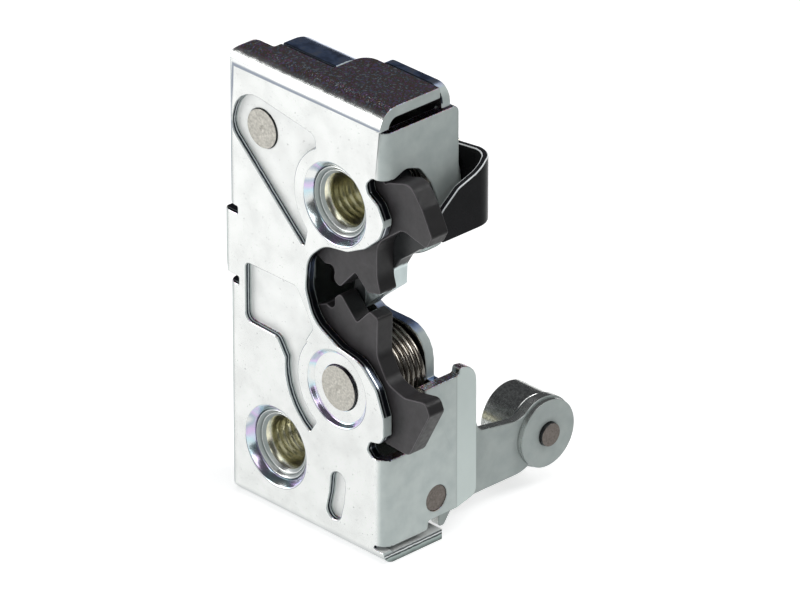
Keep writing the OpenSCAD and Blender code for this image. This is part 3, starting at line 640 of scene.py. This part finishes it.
def coating_finish(name, color):
    """Moulded coating of the rotors: dark, matt, slightly mottled, with painted shade on faces turned to
    the right.
    """
    made = Finish(name, 0.0, 0.46, {"Specular IOR Level": 0.42})
    tone = made.mix(made.cloud(3 * MM, 4, 5.0), shade(color, 0.8), shade(color, 1.25))
    painted_right_shade = made.spread(made.axes("Normal")[0], 0.3, 0.7)
    made.color(made.mix(painted_right_shade, tone, shade(color, 0.40)))
    made.roughness(made.cloud(1.2 * MM, low=0.40, high=0.55))
    made.bump(made.noise(0.3 * MM, seed=1.0), 0.012 * MM)
    made.bump(made.noise(4 * MM, 1, 2.0), 0.05 * MM)
    return made.material


def gloss_finish(name, color, painted_highlight):
    """Gloss black coat over sheet, with a painted highlight on the faces and edges that turn up."""
    made = Finish(name, 0.0, 0.16, {"Specular IOR Level": 0.14})
    coat = made.mix(made.noise(5 * MM, seed=8.0), shade(color, 0.7), shade(color, 1.6))
    # Faces turned up take the painted highlight colour
    made.color(made.mix(made.spread(made.axes("Normal")[2], 0.15, 0.55), coat, painted_highlight))
    made.roughness(made.cloud(1.5 * MM, low=0.14, high=0.26))
    made.bump(made.noise(2.5 * MM, 2, 6.0), 0.02 * MM)
    return made.material


def bore_finish(name, color):
    """Yellowish plating inside the fixing threads."""
    made = Finish(name, 1.0, 0.24)
    made.color(made.mix(made.cloud(4 * MM, seed=2.5), shade(color, 0.75), shade(color, 1.35)))
    made.bump(made.noise(0.4 * MM, 2), 0.005 * MM)
    return made.material


def rivet_finish(name, color):
    """Plain steel of the riveted ends, grained by the riveting tool."""
    made = Finish(name, 0.85, 0.48)
    grain = made.noise(0.5 * MM, 4, 3.0)
    made.color(made.mix(made.spread(grain, 0.3, 0.72), shade(color, 0.72), shade(color, 1.2)))
    made.roughness(made.cloud(1.0 * MM, low=0.42, high=0.6))
    made.bump(grain, 0.03 * MM)
    return made.material


def roller_finish(name, color):
    """Polished plate of the roller, with fine dark pits."""
    made = Finish(name, 1.0, 0.14)
    speck = made.noise(0.5 * MM, 4, 8.1)
    made.color(made.mix(made.spread(speck, 0.42, 0.66), shade(color, 0.9), shade(color, 0.45)))
    made.roughness(made.cloud(1.5 * MM, low=0.12, high=0.24))
    made.bump(speck, 0.01 * MM)
    return made.material


def dark_steel_finish(name, dark, light, rough):
    """Dark steel: the spring wire's own oily dark colour, and painted shade on the sides of the riveted
    ends.
    """
    made = Finish(name, 1.0, rough)
    made.color(made.mix(made.cloud(2.5 * MM, seed=6.6), dark, light))
    made.roughness(made.cloud(0.8 * MM, 2, 0.0, rough - 0.05, rough + 0.07))
    return made.material


def backing_finish(name):
    """Steel plate behind the upper rotor: black where the coating reaches, bare at its lower right."""
    made = Finish(name, 0.0, 0.35)
    place = made.axes("Object")
    wander = made.wobble(4 * MM, 3 * MM, 2)
    below = made.spread(made.math("ADD", place[2], wander), -13.4 * MM, -13.9 * MM)
    aside = made.spread(made.math("ADD", place[0], wander), 1.0 * MM, 1.5 * MM)
    bare = made.math("MULTIPLY", below, aside)
    made.color(made.mix(bare, (0.016, 0.018, 0.019), (0.60, 0.68, 0.68)))
    made.metallic(bare)
    made.roughness(made.cloud(1.5 * MM, low=0.25, high=0.42))
    made.bump(made.noise(0.5 * MM), 0.01 * MM)
    return made.material


def rubber_finish(name):
    """Matt rubber of the striker's buffer."""
    made = Finish(name, 0.0, 0.8)
    made.color(made.mix(made.noise(2 * MM), (0.012, 0.012, 0.012), (0.03, 0.03, 0.03)))
    made.bump(made.noise(0.3 * MM, 2), 0.02 * MM)
    return made.material


def floor_finish(name, azimuth):
    """Studio table that glows in its own colour: white around the latch, grey to its right, and dark far
    away.
    """
    made = Finish(name, 0.0, 0.7, {"Emission Strength": 0.74})
    place = made.axes("Object")
    aside = made.math("ADD", made.math("MULTIPLY", place[0], math.cos(azimuth)),
                      made.math("MULTIPLY", place[1], math.sin(azimuth)))
    right = made.spread(aside, 105 * MM, 150 * MM)
    away = made.add("ShaderNodeVectorMath", {0: made.where.outputs["Object"]}, operation="LENGTH")
    far = made.spread(away.outputs["Value"], 2200 * MM, 2400 * MM)
    paper_and_glow = made.mix(far, made.mix(right, (0.80, 0.80, 0.80), (0.33, 0.34, 0.34)), (0.02, 0.02, 0.02))
    made.color(paper_and_glow)
    # The table glows in its own colour though it is no lamp
    made.feed(paper_and_glow, made.shader.inputs["Emission Color"])
    return made.material


# Finishes that several pieces share

def case_zinc(finishes):
    """The case's bright plate, peeled on its top."""
    # side sets how dark the painted side shade is
    return finish("Bright zinc", zinc_finish, finishes.zinc, rough=0.19, peel=0.09 * MM, fold=EAR_FOLD,
                  above_tones=PEELED, side=0.92)


def plate_zinc(finishes):
    """The duller plate of the small parts."""
    # side sets how dark the painted side shade is on these parts
    return finish("Satin zinc", zinc_finish, shade(finishes.zinc, 0.92), rough=0.26, grain=0.006 * MM,
                  side=0.70)


def riveted(finishes):
    """Steel of the riveted ends."""
    return finish("Riveted steel", rivet_finish, finishes.rivet)


def spring_wire():
    """Steel of the springs and the retaining rings."""
    return finish("Spring wire", dark_steel_finish, (0.20, 0.18, 0.15), (0.46, 0.43, 0.38), 0.2)


# Operators

class Piece:
    """What every piece's operator shares."""

    bl_options = {"REGISTER", "UNDO"}

    @staticmethod
    def settings():
        """The latch's sizes and its finishes."""
        scene = bpy.context.scene
        return scene.latch_sizes, scene.latch_finishes


class LATCH_OT_case(Piece, bpy.types.Operator):
    """The folded case and the plate that closes it"""

    bl_idname = "latch.case"
    bl_label = "Case and back plate"

    def execute(self, context):
        sizes, finishes = self.settings()
        low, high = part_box("front_case")
        case = eased_copy("front_case", case_zinc(finishes), sizes.sheet_edge)
        # Walls of the recesses, notches and mouth are painted dark as shade, with a painted highlight line
        cut = finish("Sheared edge", shaded_edge_finish)
        second_material(case, cut, lambda face: self.is_cut(face, low, high))
        tinted = finish("Tinted zinc", dimple_finish, finishes.zinc)
        spots = [(MOUNTS["upper_fixing"], sizes.dimple_radius),
                 (MOUNTS["lower_fixing"], sizes.dimple_radius),
                 (centre("lower_rotor_pivot"), 8.95 * MM)]
        second_material(case, tinted, lambda face: self.in_dimple(face, spots))
        pressed = finish("Pressed zinc", zinc_finish, shade(finishes.zinc, 1.1), rough=0.4, shine=0.12)
        second_material(case, pressed, lambda face: self.is_pressed(face, low))
        depth = 2.6 * MM
        end = finish("Flange end", flange_finish, low.z, depth)
        second_material(case, end, lambda face: face.normal.x > 0.6 and face.center.z < low.z + depth)

        rear = finish("Rear zinc", zinc_finish, finishes.zinc, fold=EAR_FOLD, above_tones=BLUED)
        plate = eased_copy("back_plate", rear, sizes.sheet_edge)
        # Front-facing faces near the back plate's top get the same painted shade
        second_material(plate, cut, lambda face: face.normal.y < -0.25 and face.center.z > high.z - 4 * MM)
        return {"FINISHED"}

    @staticmethod
    def is_cut(face, low, high):
        """Walls of the recesses, the notches and the mouth, apart from the outer faces around them."""
        if abs(face.normal.y) > 0.3 or face.center.y > FACE_Y + 2.4 * MM:
            return False
        left, right, ends = 2 * MM, 0.2 * MM, 3 * MM
        outer = face.normal.x > 0.95 and face.center.x > high.x - right
        inside = low.x + left < face.center.x < high.x and not outer
        return inside and low.z + ends < face.center.z < high.z - ends

    @staticmethod
    def in_dimple(face, spots):
        """Cones of the dimples, which are neither flat nor deep."""
        if abs(face.normal.y) > 0.97 or face.center.y > FACE_Y + 3.2 * MM:
            return False
        away = [(Vector((face.center.x - at.x, face.center.z - at.z)), radius) for at, radius in spots]
        return any(offset.length < radius for offset, radius in away)

    @staticmethod
    def is_pressed(face, low):
        """Floors of the recesses, and the ledge on the bottom flange."""
        floor = face.normal.y < -0.9 and abs(face.center.y - RECESS_FLOOR) < 0.25 * MM
        return floor or face.normal.z > 0.8 and low.z + 1.5 * MM < face.center.z < low.z + 3.5 * MM


# The fixing bushes: radii of the thread's crest, of the clearance around it and of the outside, and the
# depths between which the thread runs
CREST, CLEARANCE, OUTSIDE = 5.12 * MM, 6.05 * MM, 8 * MM
THREAD_START, THREAD_STOP = 0.9 * MM, 16.2 * MM

# Their profiles as pairs of depth and radius in millimetres: the lip in the mouth, and both rear ends
LIP = ((-0.1, 6.05), (-0.72, 6.7), (-0.74, 6.86), (-0.42, 7.0), (-0.95, 7.14))
UPPER_REAR = ((16.7, 8), (16.7, 9.5), (24.4, 9.5), (24.4, 7), (26.5, 7), (26.5, 6.5), (27.5, 6.5),
              (27.5, 7))
LOWER_REAR = ((14.2, 8), (14.2, 7), (16.7, 7), (16.7, 7.75))


class LATCH_OT_bushes(Piece, bpy.types.Operator):
    """The two threaded bushes"""

    bl_idname = "latch.bushes"
    bl_label = "Threaded bushes"

    def execute(self, context):
        sizes, finishes = self.settings()
        inside = finish("Thread plating", bore_finish, finishes.bore)
        tree = thread_tree(inside)
        root = CREST + sizes.thread_height
        for node, mount, rear in (("upper_bush", "upper_fixing", UPPER_REAR),
                                  ("lower_bush", "lower_fixing", LOWER_REAR)):
            axis_point = Vector((MOUNTS[mount].x, 0, MOUNTS[mount].z))
            thread = tree.run("thread", Root_radius=root, Ridge_height=sizes.thread_height,
                              Pitch=sizes.thread_pitch, Length=THREAD_STOP - THREAD_START)
            thread.transform(Matrix.Translation(axis_point + BACK * THREAD_START))
            profile = fillet(self.profile(node, rear, root), 0.22 * MM)
            outside = turned_mesh("outside", profile, axis_point, BACK)
            piece = finish_mesh(self.joined(node, outside, thread, axis_point), node, crease=50)
            for material in (plate_zinc(finishes), inside):
                piece.data.materials.append(material)
        return {"FINISHED"}

    def profile(self, node, rear, root):
        """Outline of a bush from its thread's front end, round the outside and back to the other end."""
        low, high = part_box(node)
        lip, behind = ([(along * MM, out * MM) for along, out in pairs] for pairs in (LIP, rear))
        rim = 7.7 * MM
        mouth = [(THREAD_START, root), *lip, (low.y, rim), (low.y + 0.3 * MM, rim + 0.2 * MM)]
        bore = [(high.y, CLEARANCE), (THREAD_STOP, CLEARANCE), (THREAD_STOP, root)]
        return [*mouth, (0.0, OUTSIDE), *behind, (high.y, behind[-1][1]), *bore]

    def joined(self, node, outside, thread, axis_point):
        """One closed mesh of the turned outside, slot 0, and the thread and its clearance, slot 1."""
        work = bmesh.new()
        work.from_mesh(outside)
        turned_faces = len(work.faces)
        work.from_mesh(thread)
        for number, face in enumerate(work.faces):
            off = face.calc_center_median() - axis_point
            plain = number < turned_faces and Vector((off.x, off.z)).length > CLEARANCE
            face.material_index = 0 if plain else 1
        bmesh.ops.remove_doubles(work, verts=work.verts, dist=0.01 * MM)
        bmesh.ops.recalc_face_normals(work, faces=work.faces)
        mesh = bpy.data.meshes.new(node)
        work.to_mesh(mesh)
        work.free()
        return mesh


class LATCH_OT_rivets(Piece, bpy.types.Operator):
    """The pivots and studs with their riveted ends"""

    bl_idname = "latch.rivets"
    bl_label = "Pivots and studs"

    def execute(self, context):
        _, finishes = self.settings()
        browned = finish("Browned steel", rivet_finish, (0.165, 0.145, 0.13))
        shaded_sides = finish("Oiled steel", dark_steel_finish, (0.03, 0.03, 0.033), (0.09, 0.09, 0.09), 0.22)
        for node in ("lower_rotor_pivot", "pawl_shaft", "lever_pin", "drive_stud", "link_stud",
                     "roller_pin"):
            ends, along = (browned, 0) if node in ("lever_pin", "roller_pin") else (riveted(finishes), 1)
            piece = eased_copy(node, ends, 0.16 * MM)
            # The sides of the pivots and pins are painted near-black as shade
            second_material(piece, shaded_sides, lambda face: abs(face.normal[along]) < 0.6)
        for node in ("shaft_ring", "strap_ring"):
            eased_copy(node, spring_wire(), 0.15 * MM)
        return {"FINISHED"}


class LATCH_OT_rotors(Piece, bpy.types.Operator):
    """The two coated rotors, the plate behind the upper one and the buffer"""

    bl_idname = "latch.rotors"
    bl_label = "Rotors"

    def execute(self, context):
        sizes, finishes = self.settings()
        coating = finish("Rotor coating", coating_finish, finishes.rotor)
        # The rotors' rounded edges get a lighter coating colour as a painted highlight
        edge_highlight_coating = finish("Rubbed coating", coating_finish, shade(finishes.rotor, 3.2))
        for node in ("upper_rotor", "lower_rotor"):
            eased_copy(node, coating, sizes.rotor_edge, painted_highlight=edge_highlight_coating)
        eased_copy("upper_backing_plate", finish("Part coated steel", backing_finish), sizes.sheet_edge)
        eased_copy("striker_buffer", finish("Buffer rubber", rubber_finish), 0.6 * MM, segments=3)
        return {"FINISHED"}


class LATCH_OT_pawl(Piece, bpy.types.Operator):
    """The pawl, its hub and its arm"""

    bl_idname = "latch.pawl"
    bl_label = "Pawl"

    def execute(self, context):
        sizes, finishes = self.settings()
        for node in ("pawl", "drive_arm"):
            eased_copy(node, plate_zinc(finishes), sizes.sheet_edge)
        eased_copy("pawl_hub", riveted(finishes), 0.25 * MM)
        return {"FINISHED"}


class LATCH_OT_release(Piece, bpy.types.Operator):
    """The gloss strap, the link, the lever and its roller"""

    bl_idname = "latch.release"
    bl_label = "Release train"

    def execute(self, context):
        sizes, finishes = self.settings()
        coat = finish("Gloss black coat", gloss_finish, finishes.strap, shade(finishes.strap, 3))
        # The strap's rounded edges get a near-white painted highlight
        edge = finish("Strap edge", gloss_finish, shade(finishes.strap, 2), (0.9, 0.92, 0.93))
        eased_copy("release_strap", coat, sizes.sheet_edge, segments=3, painted_highlight=edge)
        for node in ("release_link", "release_lever"):
            eased_copy(node, plate_zinc(finishes), sizes.sheet_edge)
        eased_copy("roller_washer", plate_zinc(finishes), 0.2 * MM, segments=3)
        polished = finish("Polished roller", roller_finish, finishes.zinc)
        eased_copy("roller", polished, 0.3 * MM, segments=3)
        return {"FINISHED"}


class LATCH_OT_springs(Piece, bpy.types.Operator):
    """The four torsion springs"""

    bl_idname = "latch.springs"
    bl_label = "Springs"

    def execute(self, context):
        tree = coil_tree(spring_wire())
        # Piece inside the coil, the coil's inner radius and wire in mm, turns, start in degrees, leg in mm
        for node, pivot, radius, wire, turns, start, leg in (
                ("upper_rotor_spring", "upper_bush", 8.4, 1.3, 1.9, 90, 3),
                ("lower_rotor_spring", "lower_rotor_pivot", 8.9, 1.3, 5.25, 0, 3),
                ("pawl_spring", "pawl_shaft", 5.9, 1.2, 4.5, 0, 2.5),
                ("lever_spring", "lever_pin", 3.4, 1.2, 1.5, 0, 2.5)):
            self.spring(tree, node, centre(pivot), radius * MM, wire * MM, turns, start, leg * MM)
        return {"FINISHED"}

    def spring(self, tree, node, pivot, radius, wire, turns, start, leg):
        """One spring around its own pivot, as deep as its solid; radius is the coil's inner one."""
        low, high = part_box(node)
        lying = node == "lever_spring"
        rise = (high.x - low.x if lying else high.y - low.y) - wire
        mesh = tree.run(node, Coil_radius=radius + wire / 2, Turns=turns, Rise=rise,
                        Start_angle=math.radians(start), Leg=leg, Wire_radius=wire / 2,
                        Points=int(turns * 48) + 3)
        if lying:
            mesh.transform(Matrix.Rotation(math.radians(90), 4, "Z"))
            mesh.transform(Matrix.Translation((high.x - wire / 2, pivot.y, pivot.z)))
        else:
            mesh.transform(Matrix.Translation((pivot.x, low.y + wire / 2, pivot.z)))
        finish_mesh(mesh, node, crease=60)


class LATCH_OT_stage(Piece, bpy.types.Operator):
    """The pale floor, the soft studio light and the camera"""

    bl_idname = "latch.stage"
    bl_label = "Studio"

    def execute(self, context):
        stage = context.scene.latch_stage
        self.camera(stage)
        self.floor(stage)
        self.lights(stage)
        self.world()
        view = context.scene.view_settings
        view.view_transform = "Standard"
        view.look = "None"
        return {"FINISHED"}

    def camera(self, stage):
        """The camera of the photograph's view."""
        flat = math.cos(stage.elevation)
        away = Vector((math.sin(stage.azimuth) * flat, -math.cos(stage.azimuth) * flat,
                       math.sin(stage.elevation)))
        data = bpy.data.cameras.new("Camera")
        data.sensor_width = 36
        data.lens = stage.focal_pixels / IMAGE_WIDTH * data.sensor_width
        camera = bpy.data.objects.new("Camera", data)
        camera.location = Vector(stage.look_at) + away * stage.distance
        camera.rotation_euler = (-away).to_track_quat("-Z", "Y").to_euler()
        bpy.context.scene.collection.objects.link(camera)
        bpy.context.scene.camera = camera

    def floor(self, stage):
        """A wide round floor under the lowest point of the latch."""
        work = bmesh.new()
        bmesh.ops.create_circle(work, cap_ends=True, radius=4.0, segments=64)
        mesh = bpy.data.meshes.new("floor")
        work.to_mesh(mesh)
        work.free()
        mesh.transform(Matrix.Translation((0, 0, CAD_BOX[0][2])))
        mesh.materials.append(finish("Studio floor", floor_finish, stage.azimuth))
        floor = bpy.data.objects.new("floor", mesh)
        bpy.context.scene.collection.objects.link(floor)

    def lights(self, stage):
        """Soft boxes: where each stands from the latch, how far, its width and height, and its watts."""
        aim = Vector(stage.look_at)
        for name, towards, far, width, height, power in (
                ("Key", (-0.64, -0.60, 0.19), 2.5, 1.7, 1.25, 26.0),
                ("Top", (0.10, 0.05, 1.0), 2.0, 2.0, 2.0, 20.0),
                ("Fill", (0.30, -0.90, 0.30), 2.5, 1.2, 1.2, 12.0),
                ("Rim", (0.45, 0.62, 0.64), 1.5, 0.5, 0.5, 6.0)):
            data = bpy.data.lights.new(name, "AREA")
            data.shape = "RECTANGLE"
            data.size = width
            data.size_y = height
            data.energy = power
            lamp = bpy.data.objects.new(name, data)
            direction = Vector(towards).normalized()
            lamp.location = aim + direction * far
            lamp.rotation_euler = (-direction).to_track_quat("-Z", "Y").to_euler()
            bpy.context.scene.collection.objects.link(lamp)

    def world(self):
        """A dim bluish room."""
        world = bpy.data.worlds.new("Studio")
        bpy.context.scene.world = world
        world.use_nodes = True
        sky = world.node_tree.nodes["Background"]
        sky.inputs["Strength"].default_value = 0.08
        sky.inputs["Color"].default_value = (0.94, 0.97, 1.0, 1)


class LATCH_PT_panel(bpy.types.Panel):
    """Lists the latch's operators and settings"""

    bl_idname = "LATCH_PT_panel"
    bl_label = "Door latch"
    bl_space_type = "VIEW_3D"
    bl_region_type = "UI"
    bl_category = "Latch"

    def draw(self, context):
        column = self.layout.column()
        for name in GROUPS:
            settings = getattr(context.scene, name)
            for key in settings.__annotations__:
                column.prop(settings, key)
        for operator in OPERATORS:
            column.operator(operator.bl_idname)


OPERATORS = (LATCH_OT_case, LATCH_OT_bushes, LATCH_OT_rivets, LATCH_OT_rotors, LATCH_OT_pawl,
             LATCH_OT_release, LATCH_OT_springs, LATCH_OT_stage)
GROUPS = {"latch_sizes": LatchSizes, "latch_finishes": LatchFinishes, "latch_stage": LatchStage}


def register():
    for group in GROUPS.values():
        bpy.utils.register_class(group)
    for key, group in GROUPS.items():
        setattr(bpy.types.Scene, key, bpy.props.PointerProperty(type=group))
    for kind in (*OPERATORS, LATCH_PT_panel):
        bpy.utils.register_class(kind)


def unregister():
    for kind in reversed((*OPERATORS, LATCH_PT_panel)):
        bpy.utils.unregister_class(kind)
    for key in GROUPS:
        delattr(bpy.types.Scene, key)
    for group in reversed(GROUPS.values()):
        bpy.utils.unregister_class(group)


def main():
    """Builds the whole scene."""
    register()
    for operator in OPERATORS:
        family, action = operator.bl_idname.split(".")
        getattr(getattr(bpy.ops, family), action)()


if __name__ == "__main__":
    main()
